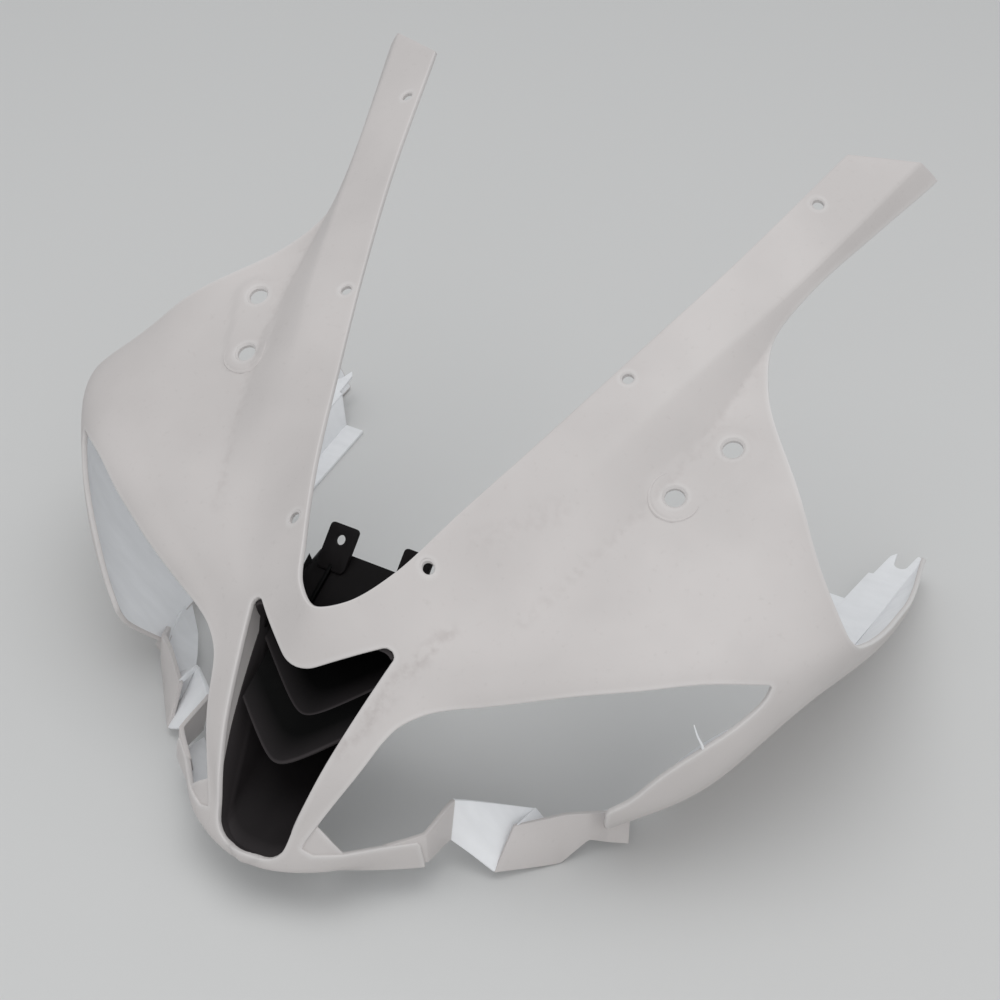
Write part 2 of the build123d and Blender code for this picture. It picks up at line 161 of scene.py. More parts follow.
MIRROR_CENTRE = (139.5, 229.7, 175.8)
MIRROR_AXIS = (0.124, -0.36, 0.925)
MIRROR_RUN = (14.9, 35.3, 11.6)
SCREEN_HOLES = [(40.1, 123.2, 151.9), (86.3, 246.5, 206.9), (129.9, 382.5, 253.4)]
SCREEN_TILT = math.radians(21.0)
MIRROR_HALF = 20
MIRROR_DEEP = 20
MIRROR_CHAMFER = 1.0
PAD_RADIUS = 13.0
PAD_FADE = (0.6, 1.5)
PAD_DEEP = 25
PAD_NEAR = (45, 25, 15)
PAD_BEAD = 0.8
SCREEN_DEEP = 15
SCREEN_CHAMFER = 0.6
SCREEN_NEAR = (15, 15, 12)
STRAND = [(190.5, 133, 89), (189.6, 132, 94), (187.5, 131, 99.4), (185.2, 131, 105.7)]
SMUDGES = [[(61.5, 107.4, 127.3), (49.2, 82.3, 112.9), (43.8, 67.1, 101.2), (34.3, 47.6, 86.7)],
           [(56.6, 146.6, 157.9), (71.5, 161.5, 161.5), (85.3, 176.6, 167.6)]]
LUG_SPOT = (53.0, 140.0)
LUG_SEAT = 6.0
SHARP = math.radians(35)

# The screws and the stage below are in metres, watts and degrees.
SCREW_HEAD_HEIGHT = 0.0024
SCREW_LENGTH = 0.010
DRIVE_RADIUS = 0.0013
DRIVE_DEPTH = 0.0026
FLOOR_HALF = 6
SKY_LEVEL = 0.62
KEY = ("key", (0.1, 0.0, 2.1), (0.0, 0.0, 0.1), 2.0, 13.0)
FILL = ("fill", (0.9, -1.6, 0.9), (-0.1, 0.0, 0.1), 1.8, 7.0)
SENSOR = 36.0
CAMERA_PLACE = (0.4293, -0.7066, 0.7565)
CAMERA_TILT = 51.942
CAMERA_TURN = 29.785


def linear(hex_colour):
    """Linear colour from an sRGB hex value."""
    parts = [int(hex_colour[i:i + 2], 16) / 255 for i in (1, 3, 5)]
    return tuple(c / 12.92 if c <= 0.04045 else ((c + 0.055) / 1.055) ** 2.4 for c in parts)


class ShellSizes(bpy.types.PropertyGroup):
    """Sizes and colours of the moulded shell."""

    wall: bpy.props.FloatProperty(name="Skin wall", description="Thickness of the skin",
                                  default=0.003, unit="LENGTH")
    edge: bpy.props.FloatProperty(name="Edge round", description="Radius of the trimmed edges",
                                  default=0.0009, unit="LENGTH")
    pad_raise: bpy.props.FloatProperty(name="Pad height", description="How far the mirror pads stand out",
                                       default=0.0011, unit="LENGTH")
    mirror_hole: bpy.props.FloatProperty(name="Mirror hole", description="Diameter of the mirror holes",
                                         default=0.0105, unit="LENGTH")
    screen_hole: bpy.props.FloatProperty(name="Screen hole", description="Diameter of the screen holes",
                                         default=0.006, unit="LENGTH")
    rim_wall: bpy.props.FloatProperty(name="Folded wall",
                                      description="Thickness of the walls under the headlights",
                                      default=0.0026, unit="LENGTH")
    tail_wall: bpy.props.FloatProperty(name="Tail wall", description="Thickness of the tail shelves",
                                       default=0.0026, unit="LENGTH")
    primer: bpy.props.FloatVectorProperty(name="Primer", description="Colour of the sanded primer",
                                          subtype="COLOR", default=linear("#CEC9C7"))
    bare: bpy.props.FloatVectorProperty(name="Bare plastic", description="Colour of the unpainted moulding",
                                        subtype="COLOR", default=linear("#F0F1F3"))


class DuctSizes(bpy.types.PropertyGroup):
    """Sizes and colours of the intake duct and its screws."""

    head: bpy.props.FloatProperty(name="Screw head", description="Diameter of the screw heads",
                                  default=0.0075, unit="LENGTH")
    shank: bpy.props.FloatProperty(name="Screw shank", description="Diameter of the screw shanks",
                                   default=0.004, unit="LENGTH")
    black: bpy.props.FloatVectorProperty(name="Duct", description="Colour of the duct", subtype="COLOR",
                                         default=linear("#050505"))


class StageSizes(bpy.types.PropertyGroup):
    """Floor, light and camera."""

    floor: bpy.props.FloatVectorProperty(name="Floor", description="Colour of the floor", subtype="COLOR",
                                         default=linear("#D3D3D2"))
    lens: bpy.props.FloatProperty(name="Lens", description="Focal length in millimetres", default=68.4)


def add_node(tree, kind, settings=None, inputs=None):
    """Adds a node, sets its fields, and links or fills its inputs."""
    made = tree.nodes.new(kind)
    for key, value in (settings or {}).items():
        setattr(made, key, value)
    for key, value in (inputs or {}).items():
        if isinstance(value, bpy.types.NodeSocket):
            tree.links.new(value, made.inputs[key])
        else:
            made.inputs[key].default_value = value
    return made


def new_material(name):
    material = bpy.data.materials.new(name)
    material.use_nodes = True
    material.node_tree.nodes.clear()
    return material, material.node_tree


def rgba(colour):
    return (*colour, 1.0)


def sanded_primer(colour):
    """Two-part primer on ABS, wet-sanded: a satin, slightly warm grey with faint clouds and dust."""
    material, tree = new_material("sanded_primer")
    place = add_node(tree, "ShaderNodeTexCoord").outputs["Object"]
    clouds = add_node(tree, "ShaderNodeTexNoise", None, {"Vector": place, "Scale": 1 / 0.07, "Detail": 3.0})
    cloud = add_node(tree, "ShaderNodeMapRange", None,
                     {"Value": clouds.outputs["Fac"], "From Min": 0.35, "From Max": 0.65})
    warm = add_node(tree, "ShaderNodeMix", {"data_type": "RGBA"},
                    {"Factor": cloud.outputs["Result"], "A": rgba(colour),
                     "B": rgba([c * 0.93 for c in colour])})
    dust = add_node(tree, "ShaderNodeTexNoise", None, {"Vector": place, "Scale": 1 / 0.0035, "Detail": 4.0})
    specks = add_node(tree, "ShaderNodeMapRange", None,
                      {"Value": dust.outputs["Fac"], "From Min": 0.62, "From Max": 0.8, "To Max": 0.12})
    dusty = add_node(tree, "ShaderNodeMix", {"data_type": "RGBA"},
                     {"Factor": specks.outputs["Result"], "A": warm.outputs["Result"],
                      "B": rgba(linear("#8F8782"))})
    dirt = add_node(tree, "ShaderNodeAttribute", {"attribute_name": "smudge"})
    streaks = add_node(tree, "ShaderNodeTexNoise", None, {"Vector": place, "Scale": 1 / 0.005, "Detail": 6.0})
    patchy = add_node(tree, "ShaderNodeMapRange", None,
                      {"Value": streaks.outputs["Fac"], "From Min": 0.42, "From Max": 0.62, "To Min": 0.1})
    amount = add_node(tree, "ShaderNodeMath", {"operation": "MULTIPLY"},
                      {0: dirt.outputs["Fac"], 1: patchy.outputs["Result"]})
    amount = add_node(tree, "ShaderNodeMath", {"operation": "MULTIPLY"},
                      {0: amount.outputs["Value"], 1: 0.24})
    dusty = add_node(tree, "ShaderNodeMix", {"data_type": "RGBA"},
                     {"Factor": amount.outputs["Value"], "A": dusty.outputs["Result"],
                      "B": rgba(linear("#8C7F7C"))})
    edge = add_node(tree, "ShaderNodeAttribute", {"attribute_name": "edge_mm"})
    rubbed = add_node(tree, "ShaderNodeMapRange", None,
                      {"Value": edge.outputs["Fac"], "From Min": WORN_EDGE, "From Max": 2.4,
                       "To Min": 0.6, "To Max": 0.0})
    colours = add_node(tree, "ShaderNodeMix", {"data_type": "RGBA"},
                       {"Factor": rubbed.outputs["Result"], "A": dusty.outputs["Result"],
                        "B": rgba(linear("#E6E5E4"))})
    gloss = add_node(tree, "ShaderNodeMapRange", None,
                     {"Value": clouds.outputs["Fac"], "From Min": 0.3, "From Max": 0.7,
                      "To Min": 0.42, "To Max": 0.55})
    grain = add_node(tree, "ShaderNodeTexNoise", None, {"Vector": place, "Scale": 1 / 0.0016, "Detail": 2.0})
    bump = add_node(tree, "ShaderNodeBump", None,
                    {"Strength": 0.06, "Distance": 0.0002, "Height": grain.outputs["Fac"]})
    shader = add_node(tree, "ShaderNodeBsdfPrincipled", None,
                      {"Base Color": colours.outputs["Result"], "Roughness": gloss.outputs["Result"],
                       "Normal": bump.outputs["Normal"]})
    add_node(tree, "ShaderNodeOutputMaterial", None, {"Surface": shader.outputs["BSDF"]})
    return material


def bare_abs(colour):
    """Natural white ABS as it leaves the mould: cool white, smooth, with faint flow marks and scuffs."""
    material, tree = new_material("bare_abs")
    place = add_node(tree, "ShaderNodeTexCoord").outputs["Object"]
    drawn = add_node(tree, "ShaderNodeMapping", None, {"Vector": place, "Scale": (1.0, 4.0, 1.0)})
    flow = add_node(tree, "ShaderNodeTexNoise", None,
                    {"Vector": drawn.outputs["Vector"], "Scale": 1 / 0.03, "Detail": 4.0})
    faint = add_node(tree, "ShaderNodeMapRange", None,
                     {"Value": flow.outputs["Fac"], "From Min": 0.35, "From Max": 0.7, "To Max": 0.6})
    colours = add_node(tree, "ShaderNodeMix", {"data_type": "RGBA"},
                       {"Factor": faint.outputs["Result"], "A": rgba(colour),
                        "B": rgba([c * 0.9 for c in colour])})
    gloss = add_node(tree, "ShaderNodeMapRange", None,
                     {"Value": flow.outputs["Fac"], "From Min": 0.3, "From Max": 0.7,
                      "To Min": 0.32, "To Max": 0.5})
    bump = add_node(tree, "ShaderNodeBump", None,
                    {"Strength": 0.1, "Distance": 0.0003, "Height": flow.outputs["Fac"]})
    shader = add_node(tree, "ShaderNodeBsdfPrincipled", None,
                      {"Base Color": colours.outputs["Result"], "Roughness": gloss.outputs["Result"],
                       "Normal": bump.outputs["Normal"]})
    add_node(tree, "ShaderNodeOutputMaterial", None, {"Surface": shader.outputs["BSDF"]})
    return material


def black_pp(colour):
    """Black polypropylene from a fine-eroded mould: satin, its grain drawn at 1.2 mm so that it shows.
    Painted light makes it lighter grey near the duct mouth and painted shade leaves it black deeper in; the
    lips carry a painted highlight.
    """
    material, tree = new_material("black_pp")
    place = add_node(tree, "ShaderNodeTexCoord").outputs["Object"]
    grain = add_node(tree, "ShaderNodeTexNoise", None, {"Vector": place, "Scale": 1 / 0.0012, "Detail": 3.0})
    # This noise sets the roughness and makes the painted light near the mouth patchy; it is no dust.
    dust = add_node(tree, "ShaderNodeTexNoise", None, {"Vector": place, "Scale": 1 / 0.02, "Detail": 5.0})
    deep = add_node(tree, "ShaderNodeAttribute", {"attribute_name": "edge_mm"})
    # Painted light and shade: lighter grey (#2A2728) near the mouth, where light falls in, fading over 42 mm
    # of depth to plain black, where shade falls.
    front = add_node(tree, "ShaderNodeMapRange", None,
                     {"Value": deep.outputs["Fac"], "From Max": 42.0, "To Min": 1.0, "To Max": 0.0})
    patchy_light = add_node(tree, "ShaderNodeMapRange", None,
                    {"Value": dust.outputs["Fac"], "From Min": 0.3, "From Max": 0.7, "To Min": 0.75})
    grey = add_node(tree, "ShaderNodeMath", {"operation": "MULTIPLY"},
                    {0: front.outputs["Result"], 1: patchy_light.outputs["Result"]})
    painted_mouth_light = add_node(tree, "ShaderNodeMix", {"data_type": "RGBA"},
                      {"Factor": grey.outputs["Value"], "A": rgba(colour), "B": rgba(linear("#2A2728"))})
    # Painted highlight: within 5 mm of the lips and the mouth edge the colour is painted a lighter grey,
    # #474344.
    lip = add_node(tree, "ShaderNodeMapRange", None,
                   {"Value": deep.outputs["Fac"], "From Max": 5.0, "To Min": 0.8, "To Max": 0.0})
    colours = add_node(tree, "ShaderNodeMix", {"data_type": "RGBA"},
                       {"Factor": lip.outputs["Result"], "A": painted_mouth_light.outputs["Result"],
                        "B": rgba(linear("#474344"))})
    gloss = add_node(tree, "ShaderNodeMapRange", None,
                     {"Value": dust.outputs["Fac"], "From Min": 0.3, "From Max": 0.7,
                      "To Min": 0.42, "To Max": 0.58})
    bump = add_node(tree, "ShaderNodeBump", None,
                    {"Strength": 0.2, "Distance": 0.0002, "Height": grain.outputs["Fac"]})
    shader = add_node(tree, "ShaderNodeBsdfPrincipled", None,
                      {"Base Color": colours.outputs["Result"], "Roughness": gloss.outputs["Result"],
                       "Specular IOR Level": 0.06, "Normal": bump.outputs["Normal"]})
    add_node(tree, "ShaderNodeOutputMaterial", None, {"Surface": shader.outputs["BSDF"]})
    return material


def zinc_steel():
    """Zinc-plated steel: bright grey metal with a soft mottled sheen."""
    material, tree = new_material("zinc_steel")
    place = add_node(tree, "ShaderNodeTexCoord").outputs["Object"]
    mottle = add_node(tree, "ShaderNodeTexNoise", None, {"Vector": place, "Scale": 1 / 0.0015, "Detail": 2.0})
    gloss = add_node(tree, "ShaderNodeMapRange", None,
                     {"Value": mottle.outputs["Fac"], "From Min": 0.3, "From Max": 0.7,
                      "To Min": 0.28, "To Max": 0.42})
    shader = add_node(tree, "ShaderNodeBsdfPrincipled", None,
                      {"Base Color": rgba(linear("#BDBEC0")), "Metallic": 1.0,
                       "Roughness": gloss.outputs["Result"]})
    add_node(tree, "ShaderNodeOutputMaterial", None, {"Surface": shader.outputs["BSDF"]})
    return material


def soft(points, steps, crisp=0.0):
    """Points along soft curves through the given points, bent at each one by its share in crisp."""
    points = np.asarray(points, float)
    gap = np.sqrt(np.linalg.norm(np.diff(points, axis=-2), axis=-1))
    run = np.diff(points, axis=-2) / gap[..., None]
    before = np.concatenate([run[..., :1, :], run], axis=-2)
    after = np.concatenate([run, run[..., -1:, :]], axis=-2)
    share = np.full(points.shape[:-1], 0.5)
    share[..., 1:-1] = gap[..., 1:] / (gap[..., :-1] + gap[..., 1:])
    even = share[..., None] * before + (1 - share[..., None]) * after
    bend = np.broadcast_to(crisp, points.shape[:-1])[..., None]
    arriving = even + (before - even) * bend
    leaving = even + (after - even) * bend
    out = []
    for i, count in enumerate(steps):
        u = (np.arange(count) / count)[:, None]
        width = gap[..., i, None, None]
        out.append((2 * u**3 - 3 * u**2 + 1) * points[..., i, None, :]
                   + (u**3 - 2 * u**2 + u) * width * leaving[..., i, None, :]
                   + (3 * u**2 - 2 * u**3) * points[..., i + 1, None, :]
                   + (u**3 - u**2) * width * arriving[..., i + 1, None, :])
    out.append(points[..., -1:, :])
    return np.concatenate(out, axis=-2)


def unit(vectors):
    return vectors / np.maximum(np.linalg.norm(vectors, axis=-1, keepdims=True), 1e-9)


class Flat:
    """A plane with its own across, up and out directions."""

    def __init__(self, origin, across, out):
        self.origin = np.array(origin, float)
        self.out = unit(np.array(out, float))
        self.up = unit(np.cross(self.out, np.array(across, float)))
        self.across = np.cross(self.up, self.out)

    def local(self, points):
        moved = np.asarray(points, float) - self.origin
        return np.stack([moved @ self.across, moved @ self.up, moved @ self.out], axis=-1)

    def world(self, points):
        points = np.asarray(points, float)
        return (self.origin + points[..., :1] * self.across + points[..., 1:2] * self.up
                + points[..., 2:3] * self.out)


MOUTH = Flat((0, 0, 0), (1, 0, 0), (0, -1, 1))
LAMP = Flat((0, 0, 0), (0.785, 0.62, 0), (0.508, -0.643, 0.574))
REAR = Flat((0, 0, 0), (0.79, 0, -0.45), (0.45, -0.42, 0.79))
PAD = Flat(MIRROR_CENTRE, MIRROR_RUN, MIRROR_AXIS)
LIP_RUN = (0, LIP_END[0] - LIP_START[0], LIP_END[1] - LIP_START[1])
LIP = Flat((0, *LIP_START), (1, 0, 0), np.cross((1, 0, 0), LIP_RUN))


def rounded(corners, radii, steps=8):
    """Closed outline with its corners rounded."""
    out = []
    corners = [np.array(c, float) for c in corners]
    for i, (corner, radius) in enumerate(zip(corners, radii)):
        back = unit(corners[i - 1] - corner)
        ahead = unit(corners[(i + 1) % len(corners)] - corner)
        half = math.acos(float(np.clip(back @ ahead, -1, 1))) / 2
        middle = corner + unit(back + ahead) * radius / math.sin(half)
        first = corner + back * radius / math.tan(half) - middle
        last = corner + ahead * radius / math.tan(half) - middle
        for k in range(steps + 1):
            out.append(middle + radius * unit(first * (1 - k / steps) + last * (k / steps)))
    return np.array(out)


def outline_distance(points, outline):
    """Distance to a closed outline, negative inside."""
    best = np.full(len(points), 1e9)
    inside = np.zeros(len(points), bool)
    for a, b in zip(outline, np.roll(outline, -1, axis=0)):
        run = b - a
        along = np.clip((points - a) @ run / max(run @ run, 1e-12), 0, 1)
        best = np.minimum(best, np.linalg.norm(points - a - along[:, None] * run, axis=1))
        if a[1] != b[1]:
            crossed = (a[1] > points[:, 1]) != (b[1] > points[:, 1])
            inside ^= crossed & (points[:, 0] < run[0] * (points[:, 1] - a[1]) / run[1] + a[0])
    return np.where(inside, -best, best)


def lamp_outline():
    upper = LAMP.local(soft(LAMP_UPPER, [10] * (len(LAMP_UPPER) - 1)))[:, :2]
    lower = LAMP.local(soft(LAMP_LOWER, [10] * (len(LAMP_LOWER) - 1)))[:, :2]
    return np.concatenate([upper, lower, LAMP.local(LAMP_SILL)[:, :2]])


def rear_outline():
    edge = REAR.local(soft(REAR_EDGE, [12] * (len(REAR_EDGE) - 1)))[:, :2]
    return np.concatenate([edge, REAR.local([(330, 190, 118), (330, 520, 118)])[:, :2]])


def on_right(points):
    right = np.array(points, float)
    right[:, 0] = np.abs(right[:, 0])
    return right


def notch_distance(right):
    """Distance to the notch behind the side panel, negative inside it."""
    rear = outline_distance(REAR.local(right)[:, :2], rear_outline()) + CORNER_RADIUS
    above = -LIP.local(right)[:, 2] + CORNER_RADIUS
    return (np.minimum(np.maximum(rear, above), 0)
            + np.hypot(np.maximum(rear, 0), np.maximum(above, 0)) - CORNER_RADIUS)


def skin_left(points, mirror_hole, screen_hole):
    """How far each point of the skin lies from the nearest opening: negative inside an opening."""
    right = on_right(points)
    mouth = MOUTH.local(right)
    field = np.maximum(outline_distance(mouth[:, :2], rounded(INTAKE, INTAKE_ROUND)),
                       INTAKE_FLOOR - mouth[:, 2])
    lamp = LAMP.local(right)
    off_middle = np.abs(lamp[:, 2] - sum(LAMP_DEEP) / 2) - (LAMP_DEEP[1] - LAMP_DEEP[0]) / 2
    lamp_gap = np.maximum(outline_distance(lamp[:, :2], lamp_outline()), off_middle)
    field = np.minimum(field, lamp_gap)
    field = np.minimum(field, notch_distance(right))
    pad = PAD.local(right)
    for side in (-MIRROR_HALF, MIRROR_HALF):
        hole = np.hypot(pad[:, 0] - side, pad[:, 1]) - mirror_hole / 2
        field = np.minimum(field, np.maximum(hole, np.abs(pad[:, 2]) - MIRROR_DEEP))
    axis = np.array([0, -math.sin(SCREEN_TILT), math.cos(SCREEN_TILT)])
    for spot in SCREEN_HOLES:
        moved = right - np.array(spot)
        deep = moved @ axis
        hole = np.linalg.norm(moved - deep[:, None] * axis, axis=1) - screen_hole / 2
        field = np.minimum(field, np.maximum(hole, np.abs(deep) - SCREEN_DEEP))
    return field


class Sheet:
    """Part of a grid of points where a field is over a level, as a wall with rounded edges."""

    def __init__(self):
        self.points = []
        self.edge = []
        self.faces = []
        self.inner = []

    def trim(self, grid, out, field, level, wall, radius):
        rows, cols = field.shape
        known = {}
        spots, outs, dist = [], [], []

        def corner(i, j):
            key = (i, j)
            if key not in known:
                known[key] = len(spots)
                spots.append(grid[i, j])
                outs.append(out[i, j])
                dist.append(field[i, j])
            return known[key]

        def crossing(a, b):
            key = (min(a, b), max(a, b))
            if key not in known:
                first, last = field[key[0]] - level, field[key[1]] - level
                share = min(max(first / (first - last), 0.04), 0.96)
                known[key] = len(spots)
                spots.append(grid[key[0]] * (1 - share) + grid[key[1]] * share)
                outs.append(out[key[0]] * (1 - share) + out[key[1]] * share)
                dist.append(level)
            return known[key]

        keep = field > level
        faces = []
        for i in range(rows - 1):
            for j in range(cols - 1):
                ring = ((i, j), (i, j + 1), (i + 1, j + 1), (i + 1, j))
                kept = [keep[c] for c in ring]
                if not any(kept):
                    continue
                face = []
                for k in range(4):
                    if kept[k]:
                        face.append(corner(*ring[k]))
                    if kept[k] != kept[(k + 1) % 4]:
                        face.append(crossing(ring[k], ring[(k + 1) % 4]))
                if len(face) > 2:
                    faces.append(face)
        spots = np.array(spots)
        outs = unit(np.array(outs))
        self.add(spots, outs, np.array(dist), faces, wall, radius, level)
        return self

    def add(self, spots, outs, dist, faces, wall, radius, level):
        base = len(self.points)
        count = len(spots)
        self.points += list(spots)
        self.edge += list(np.minimum(dist - level + 0.4, 50))
        self.faces += [[base + v for v in face] for face in faces]
        self.inner += [0] * len(faces)
        under = base + count
        self.points += list(spots - outs * wall)
        self.edge += [50.0] * count
        self.faces += [[under + v for v in reversed(face)] for face in faces]
        self.inner += [1] * len(faces)
        ahead = {}
        sides = set()
        for face in faces:
            for a, b in zip(face, face[1:] + face[:1]):
                sides.add((a, b))
        for a, b in sides:
            if (b, a) not in sides:
                ahead[a] = b
        while ahead:
            start, step = ahead.popitem()
            loop = [start]
            while step in ahead:
                loop.append(step)
                step = ahead.pop(step)
            if step != start:
                loop.append(step)
            if len(loop) > 3:
                self.rim(loop, base, under, spots, outs, wall, radius)

    def rim(self, loop, base, under, spots, outs, wall, radius):
        """Rounded edge all round one opening or border."""
        p = spots[loop]
        n = outs[loop]
        run = unit(np.roll(p, -1, axis=0) - np.roll(p, 1, axis=0))
        away = unit(np.cross(run, n))
        for _ in range(3):
            away = unit(2 * away + np.roll(away, 1, axis=0) + np.roll(away, -1, axis=0))
        rings = [[base + v for v in loop]]
        for turn in (30, 60, 90):
            a = math.radians(turn)
            self.ring(rings, p - n * radius * (1 - math.cos(a)) + away * radius * math.sin(a), RIM_MARK)
        for turn in (0, 45):
            a = math.radians(turn)
            small = radius * 0.6
            self.ring(rings, p - n * (wall - small + small * math.sin(a))
                      + away * (radius - small + small * math.cos(a)), 1.5)
        rings.append([under + v for v in loop])
        size = len(loop)
        for upper, lower in zip(rings, rings[1:]):
            for k in range(size):
                m = (k + 1) % size
                self.faces.append([upper[m], upper[k], lower[k], lower[m]])
                self.inner.append(0)

    def ring(self, rings, points, edge):
        first = len(self.points)
        self.points += list(points)
        self.edge += [edge] * len(points)
        rings.append(list(range(first, first + len(points))))


def metres(points):
    return (np.asarray(points, float) - np.array([0, MID_Y, 0])) * MM


def mesh_of(name, points, faces, slots=None, edge=None, smudge=None):
    mesh = bpy.data.meshes.new(name)
    mesh.from_pydata([tuple(p) for p in metres(points)], [], faces)
    if slots is not None:
        mesh.polygons.foreach_set("material_index", slots)
    # edge_mm is the distance from a trimmed edge on the shell, for its rubbed primer; on the duct it is the
    # depth from the mouth and lips, which the duct material turns into painted light, painted shade and
    # painted highlights.
    marks = mesh.attributes.new("edge_mm", "FLOAT", "POINT")
    edge = [50.0] * len(points) if edge is None else edge
    marks.data.foreach_set("value", np.asarray(edge, np.float32))
    if smudge is not None:
        marks = mesh.attributes.new("smudge", "FLOAT", "POINT")
        marks.data.foreach_set("value", np.asarray(smudge, np.float32))
    mesh.polygons.foreach_set("use_smooth", [True] * len(mesh.polygons))
    mesh.update()
    return mesh


def smudged(points):
    """How dirty each point of the skin is: along the creases and where hands have been."""
    points = np.asarray(points, float)
    dirt = np.zeros(len(points))
    lines = [(SMUDGES[0], 5.0, 1.0), (SMUDGES[1], 7.0, 0.35), (STEP_FOOT[3:7], 3.5, 0.55),
             ([(-x, y, z) for x, y, z in STEP_FOOT[3:7]], 3.5, 0.55)]
    for line, width, level in lines:
        for spot in soft(line, [14] * (len(line) - 1)):
            gap = np.linalg.norm(points - spot, axis=1)
            dirt = np.maximum(dirt, level * np.exp(-(gap / width) ** 2))
    return dirt


def finished(mesh, changes):
    """The mesh after a few modifiers, as a plain mesh."""
    piece = bpy.data.objects.new(mesh.name, mesh)
    bpy.context.scene.collection.objects.link(piece)
    for kind, settings in changes:
        modifier = piece.modifiers.new(kind.title(), kind)
        for key, value in settings.items():
            setattr(modifier, key, value)
    graph = bpy.context.evaluated_depsgraph_get()
    made = bpy.data.meshes.new_from_object(piece.evaluated_get(graph))
    bpy.data.objects.remove(piece)
    bpy.data.meshes.remove(mesh)
    return made


FOLD_STEPS = 8
FOLD_CRISP = 0.8
EASED = ("BEVEL", {"width": 0.0005, "segments": 2, "limit_method": "ANGLE", "angle_limit": math.radians(28)})


def lofted(name, sections, slots=1, endless=False, edge=None):
    """Solid through rings of points, closed by end faces or by joining the last ring to the first."""
    sections = [np.asarray(s, float) for s in sections]
    size = len(sections[0])
    count = len(sections)
    bands = count if endless else count - 1
    slots = list(np.broadcast_to(slots, bands))
    points = np.concatenate(sections)
    faces = []
    kinds = []
    for i in range(bands):
        after = (i + 1) % count
        for k in range(size):
            m = (k + 1) % size
            faces.append([i * size + k, i * size + m, after * size + m, after * size + k])
            kinds.append(slots[i])
    if not endless:
        faces += [list(range(size))[::-1], [len(points) - size + k for k in range(size)]]
        kinds += [slots[0], slots[-1]]
    edge = None if edge is None else np.asarray(edge, float).ravel()
    return outward(mesh_of(name, points, faces, kinds, edge))


def outward(mesh):
    work = bmesh.new()
    work.from_mesh(mesh)
    bmesh.ops.recalc_face_normals(work, faces=work.faces)
    work.to_mesh(mesh)
    work.free()
    return mesh


def folded(name, top, foot, wall, slots=1):
    """Folded wall of even thickness between a top line and a foot line."""
    tops = soft(top, [FOLD_STEPS] * (len(top) - 1), FOLD_CRISP)
    feet = soft(foot, [FOLD_STEPS] * (len(foot) - 1), FOLD_CRISP)
    slots = np.repeat(np.broadcast_to(slots, len(top) - 1), FOLD_STEPS)
    run = (tops[1:] + feet[1:]) - (tops[:-1] + feet[:-1])
    rise = (tops[:-1] - feet[:-1]) + (tops[1:] - feet[1:])
    square = unit(np.cross(run, rise))
    sections = []
    for i in range(len(tops)):
        n = square[min(i, len(square) - 1)]
        if 0 < i < len(square):
            m = unit(square[i - 1] + square[i])
            n = m / max(m @ n, 0.5)
        n = n * wall / 2
        sections.append([tops[i] + n, feet[i] + n, feet[i] - n, tops[i] - n])
    return lofted(name, sections, slots)


def plate(name, outline, low, high, slot=1):
    """Flat plate between two heights."""
    return lofted(name, [[(x, y, z) for x, y in outline] for z in (low, high)], slot)


def shelf_outline(wall):
    """Tail shelf with its forked rear end."""
    inner = [(x - wall / 2, y) for x, y in SHELF_INNER]
    half = FORK_WIDTH / 2
    spread = half + 9 * FORK_FLARE
    notch = [(-spread, 9)]
    notch += [(-half * math.cos(t), -half * math.sin(t)) for t in np.linspace(0, math.pi, 13)]
    notch += [(spread + 2 * FORK_FLARE, 11)]
    fork = [(FORK_SPOT[0] + x, FORK_SPOT[1] + y) for x, y in notch]
    return inner + FORK_TIPS[:2] + fork + FORK_TIPS[2:] + SHELF_OUTER[::-1]


def mirrored(mesh):
    twin = mesh.copy()
    twin.transform(Matrix.Scale(-1, 4, (1, 0, 0)))
    twin.flip_normals()
    return twin


def joined(name, meshes, materials):
    """One mesh from several, all at the same place."""
    work = bmesh.new()
    for mesh in meshes:
        work.from_mesh(mesh)
    made = bpy.data.meshes.new(name)
    work.to_mesh(made)
    work.free()
    for material in materials:
        made.materials.append(material)
    piece = bpy.data.objects.new(name, made)
    bpy.context.scene.collection.objects.link(piece)
    return piece


def skin_grid():
    lines = [[(-x, y, z) for x, y, z in reversed(line[1:])] + line for line in LINES]
    along = soft(lines, STEPS_ALONG[::-1] + STEPS_ALONG)
    station = np.concatenate([i + np.arange(count) / count for i, count in enumerate(STEPS_ALONG)]
                             + [[float(len(STEPS_ALONG))]])
    crisp = np.zeros((len(along[0]), len(LINES)))
    for line, (begin, full) in CREASES.items():
        bend = CREASE * np.clip((station - begin) / (full - begin), 0, 1)
        crisp[:, line] = np.concatenate([bend[:0:-1], bend])
    grid = soft(along.transpose(1, 0, 2), STEPS_ACROSS, crisp)
    out = -unit(np.cross(np.gradient(grid, axis=0), np.gradient(grid, axis=1)))
    return grid, out


def height_over(flat, points, spots, reach=6.0):
    """Height of the skin over a plane at each spot, from the skin points round it."""
    local = flat.local(points)
    heights = []
    for spot in np.asarray(spots, float):
        near = local[np.abs(local[:, :2] - spot).max(axis=1) < reach]
        gap = near[:, :2] - spot
        weight = np.exp(-(np.linalg.norm(gap, axis=1) / reach * 3) ** 2)
        table = np.column_stack([np.ones(len(near)), gap]) * weight[:, None]
        heights.append(np.linalg.lstsq(table, near[:, 2] * weight, rcond=None)[0][0])
    return np.array(heights)


def nose_points(grid):
    points = grid.reshape(-1, 3)
    return points[(np.abs(points[:, 0]) < NOSE_HALF) & (points[:, 1] < NOSE_BACK)]


def return_depth(v):
    start, deep, length = RETURN_DEEP
    return start + deep * np.clip((np.asarray(v) - RETURN_FROM) / length, 0, 1)


